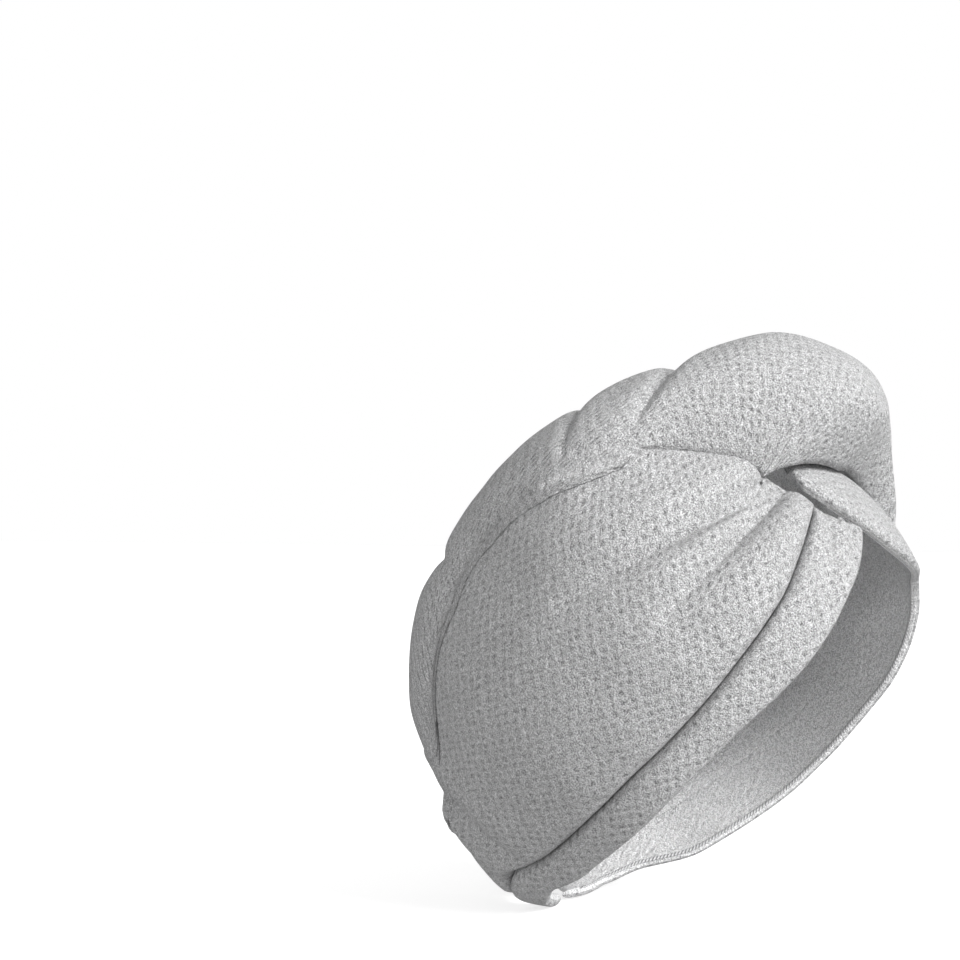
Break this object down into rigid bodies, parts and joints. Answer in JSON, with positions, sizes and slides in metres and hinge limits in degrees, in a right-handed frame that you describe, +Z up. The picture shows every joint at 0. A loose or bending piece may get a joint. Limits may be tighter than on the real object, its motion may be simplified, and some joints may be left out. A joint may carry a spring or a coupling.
{
  "type": "hair turban towel",
  "caption": "Pale grey waffle-weave hair turban towel in its worn form, with a twist at the brow and a wound tail back over the crown.",
  "frame": {"origin": "where the inside of the crown rests on the top of the head", "axes": "+Z up, -Y toward the face opening, +X to the wearer's left"},
  "size_m": [0.2033, 0.2164, 0.2519],
  "materials": {
    "towel_cloth": "waffle terry",
    "button": "matte"
  },
  "bodies": {
    "root": {"right_panel": "towel_cloth", "left_panel": "towel_cloth", "right_brim": "towel_cloth", "left_brim": "towel_cloth", "tail": "towel_cloth", "nape_button": "button"}
  },
  "joints": []
}
